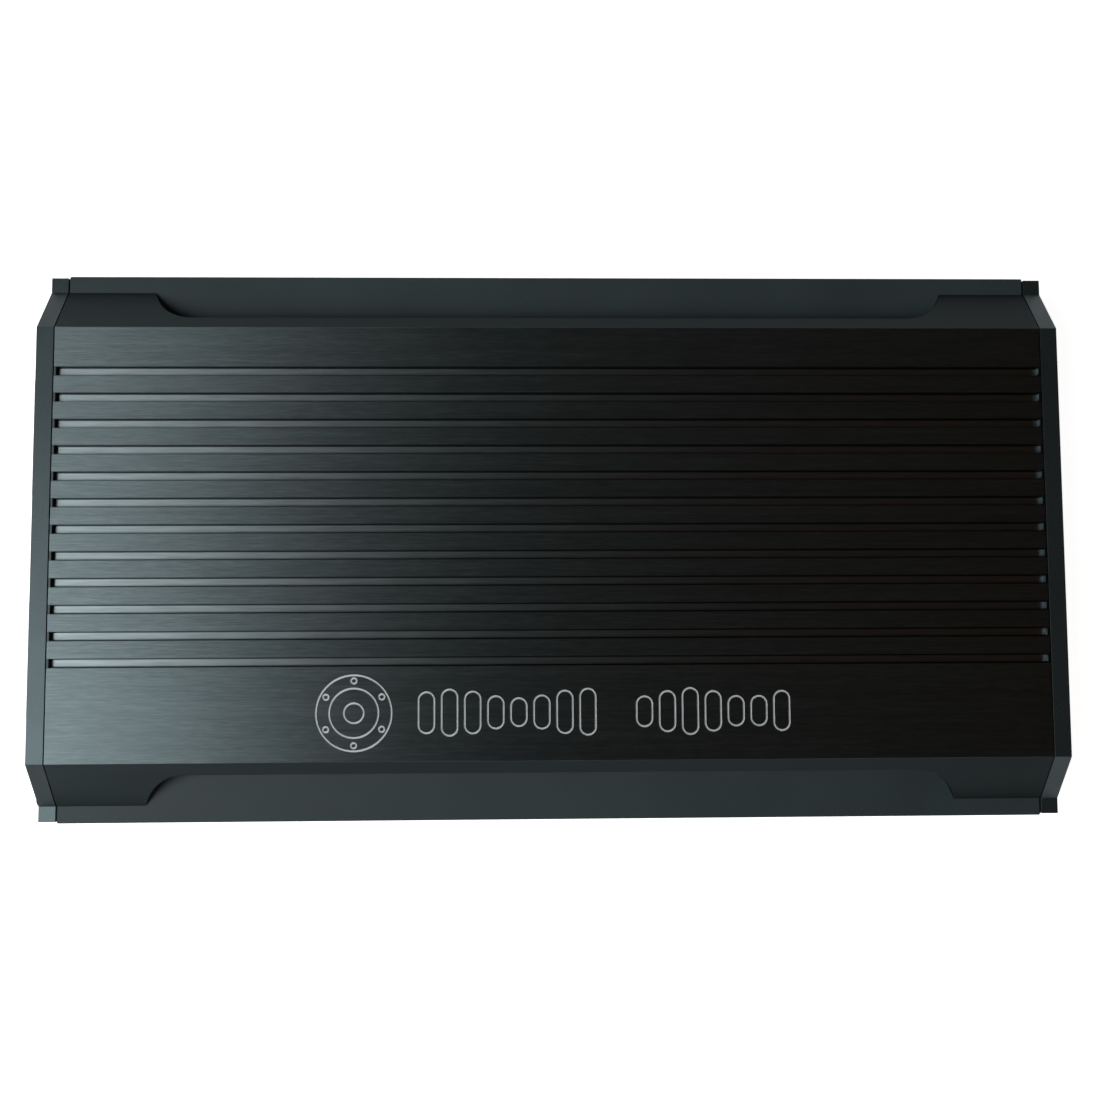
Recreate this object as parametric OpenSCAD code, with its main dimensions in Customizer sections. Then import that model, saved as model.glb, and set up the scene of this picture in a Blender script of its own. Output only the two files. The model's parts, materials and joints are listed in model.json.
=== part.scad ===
// Car amplifier: finned aluminium body under a grooved, brushed cover, closed by two end plates.
// X runs along the body, Y across it, Z up. The origin is at the middle of the underside.

/* [Body] */
// Length of the extruded body between the end plates
body_len = 412; // [330:1:500]
// Width over the two side ledges
body_w = 230.4; // [190:0.1:280]
// Height from the mounting face to the top of the cover
total_h = 56; // [54:0.5:80]
// Thickness of each end plate
plate_t = 7; // [4:0.5:8]
// How far an end plate stays inside the ledge on each side
plate_inset = 0.6; // [0:0.1:2]

/* [Cover] */
// Height of the cover above the ledge
shoulder_h = 15; // [12:0.5:20]
// Width of the ledge outside the foot of the cover
ledge_w = 7; // [4:0.5:12]
// Width of each sloped shoulder, seen from above
slope_run = 18.7; // [12:0.1:25]
// Thickness of the cover's top
cover_t = 5; // [4:0.5:6]
// Thickness of the sloped shoulders
slope_t = 2.5; // [1.5:0.1:4]
// Gap between the cover and each end plate
cover_gap = 0.5; // [0.2:0.1:1.5]
// Length of each full shoulder, from the body's end to the start of the cutout's lip
shoulder_len = 55.5; // [35:0.5:90]
// Width of the lip that is left beside the top along a cutout
lip_w = 5.2; // [3:0.1:9]
// Radius of the cutout's corners
cutout_r = 19; // [10:0.5:24]

/* [Grooves] */
// Width of each groove in the top
groove_w = 3.6; // [2:0.1:5]
// Depth of each groove
groove_d = 2.5; // [1:0.1:3.6]
// Distance from one groove to the next
groove_pitch = 10.92; // [7:0.01:16]
// Distance from the rear edge of the top to the first groove
rear_band = 18.45; // [8:0.05:30]
// Plain band kept for the emblem at the front
front_band = 40; // [34:0.5:60]
// Land left at each end of a groove
groove_land = 0.8; // [0.5:0.1:10]

/* [Emblem] */
// Diameter of the round emblem
emblem_d = 31.5; // [20:0.5:34]
// Distance from the front edge of the top to the emblem's centre
emblem_y = 19.6; // [17.5:0.1:20]
// Distance from the middle of the cover to the emblem's centre
emblem_x = 81.5; // [60:0.5:110]
// Height of the tallest bar outline
bar_h = 19.5; // [10:0.5:26]
// Width of each bar outline
bar_w = 7.2; // [4:0.1:8]
// Distance from one bar outline to the next
bar_pitch = 9.4; // [8.5:0.1:12]
// Width of the engraved line
line_w = 0.8; // [0.4:0.05:1]
// Depth of the engraved line
line_d = 0.35; // [0.2:0.05:0.8]

/* [Heatsink] */
// Thickness of the deck under the fins
deck_t = 4; // [3:0.5:6]
// Thickness of the side walls
wall_t = 6; // [5:0.5:9]
// Depth of the cooling grooves along the side walls
rib_d = 2.2; // [1:0.1:3]
// Height of one cooling groove
rib_h = 3.4; // [2:0.1:4]
// Number of cooling grooves on each side
rib_n = 5; // [2:1:5]
// Thickness of the fins under the cover
fin_t = 2; // [1.2:0.1:3]
// Distance from one fin to the next
fin_pitch = 12; // [10:0.5:20]
// Width and height of the screw bosses inside the extrusion
boss = 8; // [7.5:0.5:10]
// Bevel at the ends of the ledge
ledge_bevel = 1; // [0.3:0.1:2]

/* [Base] */
// Thickness of the steel base
base_t = 2; // [1.9:0.1:4]
// How far the mounting tabs stand out beyond the end plates
tab_reach = 14; // [12:0.5:16]
// Width of each mounting tab
tab_w = 24; // [16:1:40]
// Distance between the mounting holes across the body
tab_spacing = 160; // [100:1:170]
// Diameter of the mounting holes
mount_hole_d = 5.5; // [4:0.1:7]

/* [Terminals] */
// Width of a supply cable clamp
supply_clamp_w = 16; // [14:0.5:18]
// Diameter of the supply cable bore
supply_bore_d = 9.8; // [6:0.1:12]
// Width of a remote or speaker wire clamp
wire_clamp_w = 10; // [8:0.5:11]
// Diameter of the remote wire bore
remote_bore_d = 4; // [2:0.1:5]
// Diameter of the speaker wire bore
speaker_bore_d = 6.4; // [3:0.1:7]
// How far the terminals stand out of the end plate
terminal_reach = 11.5; // [10:0.5:12]
// Distance from the middle of the body to the middle of each terminal block
terminal_y = 48; // [44:0.5:54]

/* [Controls] */
// Diameter of a control shaft
shaft_d = 6; // [4:0.5:7]
// Radial clearance of a control shaft in its bush
shaft_gap = 0.05; // [0.02:0.01:0.1]
// Diameter of a control knob
knob_d = 12.4; // [10:0.1:15]
// Length of a control knob outside the plate
knob_len = 6; // [4:0.5:7]
// Travel of a slide switch
slide_travel = 4; // [2:0.5:5]
// Outer diameter of a phono socket
phono_d = 8.3; // [7:0.1:9]
// Distance between phono sockets
phono_pitch = 14; // [12.5:0.5:15]

/* [Hidden] */
$fn = 48;

eps = 0.01;
fit = 0.05;            // radial room round a screw in its own threaded hole
loose = 0.3;           // room round a piece that passes through another
hx = body_len / 2;     // end of the extrusion
px = hx + plate_t;     // outer face of an end plate
hy = body_w / 2;       // outer face of the ledge
foot_y = hy - ledge_w; // foot of the sloped shoulder
top_y = foot_y - slope_run;
ledge_z = total_h - shoulder_h;
deck_z = ledge_z - deck_t;
cover_z = total_h - cover_t;
slope_a = atan(shoulder_h / slope_run);
slope_dy = slope_t / sin(slope_a);
inner_foot_y = foot_y - slope_dy;
inner_top_y = inner_foot_y - (cover_z - ledge_z) / tan(slope_a);
lip_y = top_y + lip_w;
cut_x = hx - shoulder_len;
cover_hx = hx - cover_gap;
wall_y = hy - wall_t;  // inner face of the side walls

groove_n = floor((2 * top_y - rear_band - front_band) / groove_pitch) + 1;
fin_n = floor((top_y - fin_t) / fin_pitch);

// Screws: shank radius, head radius and head height
m3 = [1.5, 2.8, 2];
m4 = [2, 3.6, 2.4];
boss_y = wall_y - boss / 2;
boss_h = boss - 2;
port_z = deck_z - boss_h / 2;
foot_z = base_t + boss / 2;
board_hy = wall_y - boss - 3;
post_y = 3.5 * fin_pitch;
mid_port_y = (post_y + boss_y) / 2;
plate_screw_len = 14;
end_screw_at = [
    [boss_y, port_z], [-boss_y, port_z], [boss_y, foot_z],
    [-boss_y, foot_z], [mid_port_y, port_z], [-mid_port_y, port_z]
];
base_screw_x = hx - 26;
post_r = (fin_pitch - fin_t) / 2 - 0.5;
post_x = hx - shoulder_len;

// Circuit boards
board_t = 1.6;
standoff_h = 6;
board_z = base_t + standoff_h;
board_top = board_z + board_t;
board_x0 = -hx + 3;
board_x1 = hx - 56;
board_l = board_x1 - board_x0;
control_x0 = hx - 46;
control_x1 = hx - 3;
control_z = base_t + 10;
control_top = control_z + board_t;
board_screw_at = [
    for (x = [board_x0 + 24, (board_x0 + board_x1) / 2, board_x1 - 6], s = [-1, 1])
    [x, s * (board_hy - 9)]
];
control_screw_at = [
    for (x = [control_x0 + 5], s = [-1, 0, 1]) [x, s * (board_hy - 5)]
];

// Zones along the main board, from the terminals to the driver card
cap_zone = 80;
coil_pitch = 54;
rail_zone = 60;
inductor_zone = 46;
film_zone = 20;
driver_zone = 14;
coil_cols = floor((board_l - cap_zone - rail_zone - inductor_zone - film_zone - driver_zone) / coil_pitch);
coil_x = board_x0 + cap_zone + 24;
rail_x = board_x0 + cap_zone + coil_cols * coil_pitch + 18;
inductor_x = rail_x + 64;
film_x = inductor_x + 32;
driver_x = film_x + 18;
part_h = deck_z - boss_h - board_top - 1;

// Transistor rows along both walls
pack_pitch = 20;
rect_n = 2;
out_n = 5;
pack_n = floor((board_l - 40) / pack_pitch);
supply_n = pack_n - rect_n - out_n;
pack_x0 = board_x0 + 38;
pad_t = 0.5;
pack_t = 4.5;
pack_w = 10;
pack_z = base_t + boss + 3.6;
pack_h = deck_z - boss_h - 1.9 - pack_z;
pack_body = pack_h - 6.5;
leg_drop = 2;
leg_t = 0.8;
bar_t = 3;
bar_z = pack_z + pack_body - 3;

// Terminals
term_z0 = board_top;
term_h = deck_z - boss_h - 3.4 - term_z0;
term_x0 = -px - terminal_reach;
term_back = 36;
term_wall = 2;
bore_z = term_z0 + 7.4;
clamp_h = term_h - 2 * term_wall;
bore_len = terminal_reach + 8;
supply_ways = [supply_clamp_w, wire_clamp_w, supply_clamp_w];
speaker_ways = [for (i = [0:3]) wire_clamp_w];
supply_bores = [supply_bore_d, remote_bore_d, supply_bore_d];
speaker_bores = [for (i = [0:3]) speaker_bore_d];

// Controls
control_axis_z = control_top + 7.4;
knob_gap = 0.8;
pot_w = 12;
switch_w = 12;
pot_x0 = hx - 16;
pot_x1 = hx - 2;
shaft_x0 = hx - 10;
slider = [4, 5, 5];
stem = [10.3, 3, 2.6];
switch_x0 = hx - 10;
slider_x = hx - 5.8;
jack_w = 13;
jack_open = [12, 9.8, 7.2];
jack_back = 16;
jack_z = control_top + 6.6;
led_r = 1.5;
sleeve_t = 0.95;
sleeve_out = 8;        // how far a phono sleeve stands out of its plate
neck_cut = 0.25;       // how much thinner it is where it passes through the plate
phono_x0 = hx - 9;

// Widths of the phono block, four knobs, two switches, jack and lights, set out evenly in a row
knob_room = max(pot_w, knob_d) + 0.6;
row = [3 * phono_pitch + 13, knob_room, knob_room, knob_room, knob_room, switch_w, switch_w, jack_w, 4];
row_edge = 1.5;
row_gap = (2 * (board_hy - row_edge) - sum_to(row, len(row))) / (len(row) - 1);
phono_at = [for (i = [0:3]) row_y(0) + (i - 1.5) * phono_pitch];
knob_at = [for (i = [1:4]) row_y(i)];
switch_at = [row_y(5), row_y(6)];
jack_at = row_y(7);
led_at = row_y(8);

function row_y(i) = -board_hy + row_edge + sum_to(row, i) + i * row_gap + row[i] / 2;

function sum_to(v, n) = n <= 0 ? 0 : v[n - 1] + sum_to(v, n - 1);
function ways_w(v) = sum_to(v, len(v)) + term_wall * (len(v) + 1);
function way_y(v, i) = -ways_w(v) / 2 + term_wall * (i + 1) + sum_to(v, i) + v[i] / 2;

// ---------- shared shapes ----------

// A box from corner a to corner b
module span(a, b) {
    translate(a) cube(b - a);
}

// A copy on each side of the XZ plane
module both_sides() {
    children();
    mirror([0, 1, 0]) children();
}

// A cylinder along X from x0 to x1
module rod_x(x0, x1, y, z, r) {
    translate([x0, y, z]) rotate([0, 90, 0]) cylinder(h = x1 - x0, r = r);
}

// A section drawn in Y and Z, run along X from x0 to x1
module along_x(x0, x1) {
    translate([x0, 0, 0]) rotate([90, 0, 90]) linear_extrude(height = x1 - x0) children();
}

// Outline of the shoulders and top above height z0, for a body of half width w
module hood_section(w, z0) {
    polygon([
        [-w, z0], [-w, ledge_z], [-foot_y, ledge_z], [-top_y, total_h],
        [top_y, total_h], [foot_y, ledge_z], [w, ledge_z], [w, z0]
    ]);
}

// A screw along +Z with its head's underside at the origin and its shank below
module pan_screw(size, len, socket = 1.25) {
    difference() {
        union() {
            translate([0, 0, -len]) cylinder(h = len, r = size[0]);
            cylinder(h = size[2], r = size[1]);
        }
        translate([0, 0, size[2] - 1.4]) cylinder(h = 2, r = socket * 1.155, $fn = 6);
    }
}

// A countersunk screw along +Z, its flat head flush with z = 0 and its shank above
module flush_screw(len) {
    difference() {
        union() {
            cylinder(h = len, r = m3[0]);
            cylinder(h = 1.5, r1 = m3[1], r2 = m3[0] - 0.05);
        }
        translate([0, 0, -eps]) cylinder(h = 1, r = 1.15, $fn = 6);
    }
}

module hex_post(h, bore) {
    difference() {
        cylinder(h = h, r = 3.2, $fn = 6);
        translate([0, 0, -eps]) cylinder(h = h + 1, r = bore);
    }
}

// A ring core standing on z = 0
module ring_core(od, id, h) {
    difference() {
        cylinder(h = h, r = od / 2);
        translate([0, 0, -1]) cylinder(h = h + 2, r = id / 2);
    }
}

// Two half windings round a ring core, wire thickness w, open between them
module ring_winding(od, id, h, w, gap = 0.15) {
    for (a = [15, 195]) {
        rotate([0, 0, a]) rotate_extrude(angle = 150) difference() {
            translate([id / 2 - gap - w, 0]) square([(od - id) / 2 + 2 * (gap + w), h + 2 * (gap + w)]);
            translate([id / 2 - gap, w]) square([(od - id) / 2 + 2 * gap, h + 2 * gap]);
        }
    }
}

// A can capacitor with a crimped neck and a vented top
module can_cap(d, h) {
    difference() {
        cylinder(h = h, r = d / 2);
        translate([0, 0, 2]) difference() {
            cylinder(h = 1.2, r = d);
            translate([0, 0, -eps]) cylinder(h = 1.3, r = d / 2 - 0.8);
        }
        for (a = [0, 60, 120]) {
            rotate([0, 0, a]) translate([-d / 4, -0.3, h - 0.3]) cube([d / 2, 0.6, 1]);
        }
    }
}

// A power transistor with its tab against the wall at +Y and three bent legs to the board
module power_pack() {
    back = wall_y - pad_t;
    front = back - pack_t;
    leg_y = board_hy - 3;
    bend_z = pack_z - leg_drop;
    difference() {
        union() {
            span([-pack_w / 2, front, pack_z], [pack_w / 2, back, pack_z + pack_body]);
            span([-pack_w / 2, back - 1.3, pack_z + pack_body - eps], [pack_w / 2, back, pack_z + pack_h]);
            for (i = [-1:1]) {
                translate([2.54 * i, 0, 0]) {
                    span([-0.5, front + 1.6, bend_z], [0.5, front + 1.6 + leg_t, pack_z + eps]);
                    span([-0.5, leg_y, bend_z - leg_t], [0.5, front + 1.6 + leg_t, bend_z + eps]);
                    span([-0.5, leg_y, board_top], [0.5, leg_y + leg_t, bend_z - leg_t + eps]);
                }
            }
        }
        translate([0, wall_y + 1, pack_z + pack_h - 2.8]) rotate([90, 0, 0]) cylinder(h = 8, r = 1.8);
    }
}

module pack_row(first, count) {
    both_sides() {
        for (i = [first:first + count - 1]) {
            translate([pack_x0 + i * pack_pitch, 0, 0]) power_pack();
        }
    }
}

// First place and number of packages in each clamped group
pack_groups = [[0, supply_n], [supply_n, rect_n], [supply_n + rect_n, out_n]];
function group_x0(g) = pack_x0 + g[0] * pack_pitch - pack_w / 2 - 2;
function group_x1(g) = pack_x0 + (g[0] + g[1] - 1) * pack_pitch + pack_w / 2 + 2;

// ---------- emblem ----------

module ring_line(d) {
    difference() {
        circle(d = d);
        circle(d = d - 2 * line_w);
    }
}

module stadium(w, h) {
    square([w, h - w], center = true);
    for (s = [-1, 1]) {
        translate([0, s * (h - w) / 2]) circle(d = w);
    }
}

module bar_outline(h) {
    difference() {
        stadium(bar_w, h);
        stadium(bar_w - 2 * line_w, h - 2 * line_w);
    }
}

// A loudspeaker face in a ring, then two groups of level bars
module emblem_lines() {
    bars_y = -top_y + emblem_y;
    translate([-emblem_x, bars_y]) {
        ring_line(emblem_d);
        ring_line(emblem_d * 0.66);
        ring_line(emblem_d * 0.28);
        for (a = [30:60:330]) {
            rotate(a) translate([emblem_d * 0.415, 0]) ring_line(3);
        }
    }
    for (i = [0:7]) {
        translate([-emblem_x + emblem_d / 2 + 13.7 + i * bar_pitch, bars_y]) {
            bar_outline(bar_h * (0.81 + 0.19 * sin(25 + 62 * i)));
        }
    }
    for (i = [0:6]) {
        translate([emblem_x - 44.6 + i * bar_pitch, bars_y]) {
            bar_outline(bar_h * (0.81 - 0.19 * cos(40 + 71 * i)));
        }
    }
}

// ---------- casing ----------

module cover_section() {
    difference() {
        hood_section(foot_y, ledge_z - eps);
        polygon([
            [-inner_foot_y, ledge_z - 1], [-inner_foot_y, ledge_z], [-inner_top_y, cover_z],
            [inner_top_y, cover_z], [inner_foot_y, ledge_z], [inner_foot_y, ledge_z - 1]
        ]);
        translate([-hy, ledge_z - 2]) square([body_w, 2]);
    }
}

module side_cutout() {
    translate([-cut_x, lip_y, ledge_z - 1]) cube([2 * cut_x, 40, shoulder_h + 2]);
    for (s = [-1, 1]) {
        translate([s * cut_x, lip_y + cutout_r, ledge_z - 1]) cylinder(h = shoulder_h + 2, r = cutout_r);
    }
}

module top_cover() {
    color([0.13, 0.14, 0.14]) difference() {
        union() {
            along_x(-cover_hx, cover_hx) cover_section();
            for (x = [-post_x, 0, post_x], s = [-1, 1]) {
                translate([x, s * post_y, ledge_z]) cylinder(h = cover_z - ledge_z + 1, r = post_r);
            }
        }
        both_sides() side_cutout();
        for (i = [0:groove_n - 1]) {
            translate([0, top_y - rear_band - i * groove_pitch, total_h]) {
                cube([2 * (cover_hx - groove_land), groove_w, 2 * groove_d], center = true);
            }
        }
        translate([0, 0, total_h - line_d]) linear_extrude(height = 1) emblem_lines();
        for (x = [-post_x, 0, post_x], s = [-1, 1]) {
            translate([x, s * post_y, ledge_z - 1]) cylinder(h = 9, r = m3[0] + fit);
        }
    }
}

module heatsink_section() {
    rib_room = ledge_z - base_t - 4;
    rib_pitch = rib_room / rib_n;
    difference() {
        union() {
            translate([-hy, deck_z]) square([body_w, deck_t]);
            for (s = [-1, 1]) {
                translate([s * (hy - wall_t / 2) - wall_t / 2, base_t]) square([wall_t, ledge_z - base_t]);
                translate([s * boss_y - boss / 2, base_t]) square([boss, boss]);
                translate([s * boss_y - boss / 2, deck_z - boss_h]) square([boss, boss_h + 1]);
                translate([s * mid_port_y - boss / 2, deck_z - boss_h]) square([boss, boss_h + 1]);
            }
            for (i = [-fin_n:fin_n]) {
                translate([i * fin_pitch - fin_t / 2, ledge_z - 1]) square([fin_t, cover_z - ledge_z + 1]);
            }
        }
        for (s = [-1, 1], i = [0:rib_n - 1]) {
            z = base_t + 2 + (i + 0.5) * rib_pitch;
            translate([s * hy - rib_d, z - rib_h / 2]) square([2 * rib_d, rib_h]);
        }
    }
}

module heatsink() {
    color([0.16, 0.17, 0.18]) difference() {
        along_x(-hx, hx) heatsink_section();
        for (s = [-1, 1]) {
            translate([s * hx, 0, ledge_z]) rotate([0, 45, 0]) {
                cube([ledge_bevel * sqrt(2), body_w + 2, ledge_bevel * sqrt(2)], center = true);
            }
            for (t = [-1, 1]) {
                translate([s * hx, t * hy, 0]) rotate([0, 0, 45]) {
                    cube([ledge_bevel * sqrt(2), ledge_bevel * sqrt(2), 3 * total_h], center = true);
                }
            }
        }
        for (s = [-1, 1], p = end_screw_at) {
            rod_x(s * hx - plate_screw_len, s * hx + plate_screw_len, p[0], p[1], m4[0] + fit);
        }
        for (x = [-1, -1 / 3, 1 / 3, 1], s = [-1, 1]) {
            translate([x * base_screw_x, s * boss_y, base_t - 1]) cylinder(h = 7.5, r = m3[0] + fit);
        }
        for (x = [-post_x, 0, post_x], s = [-1, 1]) {
            translate([x, s * post_y, deck_z - 1]) cylinder(h = deck_t + 2, r = m3[0] + 0.2);
        }
        bar_screw_places() rotate([-90, 0, 0]) {
            translate([0, 0, wall_y - 1]) cylinder(h = 4, r = m3[0] + fit);
        }
    }
}

module base_outline() {
    square([2 * px, body_w - 3], center = true);
    for (s = [-1, 1], t = [-1, 1]) {
        translate([s * (px + tab_reach / 2 - 2), t * tab_spacing / 2]) {
            square([tab_reach + 4 - 8, tab_w], center = true);
        }
        translate([s * (px + tab_reach - 4), t * tab_spacing / 2]) {
            square([8, tab_w - 8], center = true);
            for (u = [-1, 1]) {
                translate([0, u * (tab_w / 2 - 4)]) circle(r = 4);
            }
        }
    }
}

module bottom_plate() {
    color([0.1, 0.1, 0.1]) difference() {
        linear_extrude(height = base_t) base_outline();
        for (s = [-1, 1], t = [-1, 1]) {
            translate([s * (px + tab_reach / 2), t * tab_spacing / 2, -1]) {
                cylinder(h = base_t + 2, r = mount_hole_d / 2);
            }
        }
        for (x = [-1, -1 / 3, 1 / 3, 1], s = [-1, 1]) {
            translate([x * base_screw_x, s * boss_y, 0]) {
                translate([0, 0, -1]) cylinder(h = base_t + 2, r = m3[0] + 0.1);
                translate([0, 0, -0.1]) cylinder(h = 1.7, r1 = m3[1] + 0.2, r2 = m3[0] + 0.1);
            }
        }
        for (p = concat(board_screw_at, control_screw_at)) {
            translate([p[0], p[1], -1]) cylinder(h = base_t + 2, r = m3[0] + 0.1);
            translate([p[0], p[1], -0.1]) cylinder(h = 1.7, r1 = m3[1] + 0.2, r2 = m3[0] + 0.1);
        }
    }
}

module end_plate_blank() {
    difference() {
        along_x(hx, px) hood_section(hy - plate_inset, base_t);
        for (p = end_screw_at) {
            rod_x(hx - 1, px + 1, p[0], p[1], m4[0] + 0.2);
        }
    }
}

module power_end_plate() {
    color([0.14, 0.15, 0.16]) difference() {
        mirror([1, 0, 0]) end_plate_blank();
        for (b = [[terminal_y, supply_ways], [-terminal_y, speaker_ways]]) {
            w = ways_w(b[1]) / 2 + loose;
            span([-px - 1, b[0] - w, term_z0 - loose], [-hx + 1, b[0] + w, term_z0 + term_h + loose]);
        }
    }
}

module signal_end_plate() {
    color([0.14, 0.15, 0.16]) difference() {
        end_plate_blank();
        for (y = phono_at) {
            rod_x(hx - 1, px + 1, y, control_axis_z, phono_d / 2 + 0.45);
        }
        for (y = knob_at) {
            rod_x(hx - 1, px + 1, y, control_axis_z, shaft_d / 2 + 1);
        }
        for (y = switch_at) {
            w = stem[1] / 2 + slide_travel / 2 + 0.5;
            h = stem[2] / 2 + 0.5;
            span([hx - 1, y - w, control_axis_z - h], [px + 1, y + w, control_axis_z + h]);
        }
        span([hx - 1, jack_at - jack_open[1] / 2 - 0.6, jack_z - jack_open[2] / 2 - 0.6],
             [px + 1, jack_at + jack_open[1] / 2 + 0.6, jack_z + jack_open[2] / 2 + 0.6]);
        for (z = [-1, 1]) {
            rod_x(hx - 1, px + 1, led_at, control_axis_z + 3.5 * z, led_r + 0.2);
        }
    }
}

// ---------- fasteners ----------

module end_plate_screws() {
    color([0.2, 0.2, 0.21]) for (s = [-1, 1], p = end_screw_at) {
        translate([s * px, p[0], p[1]]) rotate([0, 90 * s, 0]) pan_screw(m4, plate_t + plate_screw_len - 2);
    }
}

module base_screws() {
    color([0.3, 0.3, 0.3]) {
        for (x = [-1, -1 / 3, 1 / 3, 1], s = [-1, 1]) {
            translate([x * base_screw_x, s * boss_y, 0]) flush_screw(base_t + 5.5);
        }
        for (p = board_screw_at) {
            translate([p[0], p[1], 0]) flush_screw(base_t + standoff_h / 2 - 0.3);
        }
        for (p = control_screw_at) {
            translate([p[0], p[1], 0]) flush_screw(base_t + 4);
        }
    }
}

module cover_screws() {
    color([0.5, 0.5, 0.5]) for (x = [-post_x, 0, post_x], s = [-1, 1]) {
        translate([x, s * post_y, deck_z]) mirror([0, 0, 1]) pan_screw(m3, deck_t + 6);
    }
}

module bar_screw_places() {
    for (g = pack_groups, i = [g[0]:2:g[0] + g[1] - 2]) {
        translate([pack_x0 + (i + 0.5) * pack_pitch, 0, bar_z]) {
            children();
            mirror([0, 1, 0]) children();
        }
    }
}

// ---------- main board ----------

module main_board() {
    color([0.05, 0.25, 0.12]) difference() {
        span([board_x0, -board_hy, board_z], [board_x1, board_hy, board_top]);
        for (p = board_screw_at) {
            translate([p[0], p[1], board_z - 1]) cylinder(h = board_t + 2, r = m3[0] + 0.2);
        }
        coil_places() translate([0, 0, -2 * board_t]) cylinder(h = 4 * board_t, r = m4[0] + 0.2);
    }
}

module board_standoffs() {
    color([0.75, 0.6, 0.3]) for (p = board_screw_at) {
        translate([p[0], p[1], base_t]) hex_post(standoff_h, m3[0] + fit);
    }
}

module board_screws() {
    color([0.6, 0.6, 0.6]) for (p = board_screw_at) {
        translate([p[0], p[1], board_top]) pan_screw(m3, board_t + 2.6);
    }
}

module coil_places() {
    for (i = [0:coil_cols - 1], s = [-1, 1]) {
        translate([coil_x + i * coil_pitch, s * 30, board_top]) children();
    }
}

coil = [40, 20, part_h - 6];
coil_wire = 2.2;
choke = [28, 14, part_h - 7];
inductor = [32, 16, part_h - 6];
wire_gap = 0.15;

module transformer_cores() {
    color([0.1, 0.1, 0.1]) coil_places() translate([0, 0, coil_wire + wire_gap]) {
        ring_core(coil[0], coil[1], coil[2]);
    }
}

module transformer_windings() {
    color([0.72, 0.35, 0.15]) coil_places() ring_winding(coil[0], coil[1], coil[2], coil_wire);
}

module transformer_bolts() {
    washer_z = coil[2] + 2 * (coil_wire + wire_gap);
    color([0.65, 0.65, 0.68]) coil_places() {
        translate([0, 0, -board_t - 3.6]) cylinder(h = washer_z + board_t + 4, r = m4[0]);
        translate([0, 0, washer_z]) cylinder(h = 1.2, r = 11);
        translate([0, 0, washer_z + 1]) cylinder(h = m4[2], r = m4[1], $fn = 6);
        translate([0, 0, -board_t - 3.2]) cylinder(h = 3.2, r = 3.9, $fn = 6);
    }
}

module input_choke_core() {
    color([0.1, 0.1, 0.1]) translate([board_x0 + 52, -terminal_y, board_top + 2 + wire_gap]) {
        ring_core(choke[0], choke[1], choke[2]);
    }
}

module input_choke_winding() {
    color([0.72, 0.35, 0.15]) translate([board_x0 + 52, -terminal_y, board_top]) {
        ring_winding(choke[0], choke[1], choke[2], 2);
    }
}

module input_capacitors() {
    way_pitch = supply_clamp_w + wire_clamp_w + 2 * term_wall;
    color([0.08, 0.08, 0.1]) for (x = [30, 49.5, 69], y = [terminal_y - way_pitch, terminal_y]) {
        translate([board_x0 + x, y, board_top]) can_cap(18, part_h - 1);
    }
}

module rail_capacitors() {
    color([0.08, 0.08, 0.1]) for (x = [0, 26], y = [-42, -15, 15, 42]) {
        translate([rail_x + x, y, board_top]) can_cap(22, part_h - 1);
    }
}

module output_inductor_cores() {
    color([0.55, 0.5, 0.2]) for (s = [-1, 1]) {
        translate([inductor_x, s * 26, board_top + 2.5 + wire_gap]) {
            ring_core(inductor[0], inductor[1], inductor[2]);
        }
    }
}

module output_inductor_windings() {
    color([0.72, 0.35, 0.15]) for (s = [-1, 1]) {
        translate([inductor_x, s * 26, board_top]) ring_winding(inductor[0], inductor[1], inductor[2], 2.5);
    }
}

module output_film_capacitors() {
    color([0.6, 0.1, 0.1]) for (y = [-44, -15, 15, 44]) {
        span([film_x - 5, y - 12, board_top], [film_x + 5, y + 12, board_top + part_h - 4]);
    }
}

// ---------- transistors ----------

module supply_mosfets() {
    color([0.12, 0.12, 0.12]) pack_row(pack_groups[0][0], pack_groups[0][1]);
}

module rectifier_diodes() {
    color([0.15, 0.15, 0.15]) pack_row(pack_groups[1][0], pack_groups[1][1]);
}

module output_mosfets() {
    color([0.12, 0.12, 0.12]) pack_row(pack_groups[2][0], pack_groups[2][1]);
}

module insulator_pads() {
    color([0.6, 0.65, 0.7]) difference() {
        both_sides() {
            for (g = pack_groups) {
                span([group_x0(g), wall_y - pad_t, pack_z - 1],
                     [group_x1(g), wall_y, pack_z + pack_h + 0.5]);
            }
        }
        bar_screw_places() rotate([-90, 0, 0]) {
            translate([0, 0, wall_y - 2]) cylinder(h = 4, r = m3[0] + 0.2);
        }
    }
}

module clamp_bars() {
    y1 = wall_y - pad_t - pack_t;
    color([0.55, 0.56, 0.58]) difference() {
        both_sides() {
            for (g = pack_groups) {
                span([group_x0(g), y1 - bar_t, bar_z - 3], [group_x1(g), y1, bar_z + 3]);
            }
        }
        bar_screw_places() rotate([-90, 0, 0]) {
            translate([0, 0, y1 - 10]) cylinder(h = 12, r = m3[0] + 0.2);
        }
    }
}

module clamp_bar_screws() {
    y0 = wall_y - pad_t - pack_t - bar_t;
    color([0.5, 0.5, 0.5]) bar_screw_places() translate([0, y0, 0]) rotate([90, 0, 0]) {
        pan_screw(m3, wall_y - y0 + 2.6);
    }
}

module driver_board() {
    half = 48;
    color([0.05, 0.25, 0.12]) {
        span([driver_x, -half, board_top], [driver_x + board_t, half, board_top + part_h - 2]);
    }
}

module driver_chips() {
    color([0.08, 0.08, 0.08]) for (y = [-36:18:36]) {
        span([driver_x + board_t, y - 5, board_top + 5], [driver_x + board_t + 2, y + 5, board_top + 12]);
    }
}

// ---------- terminals ----------

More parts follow.
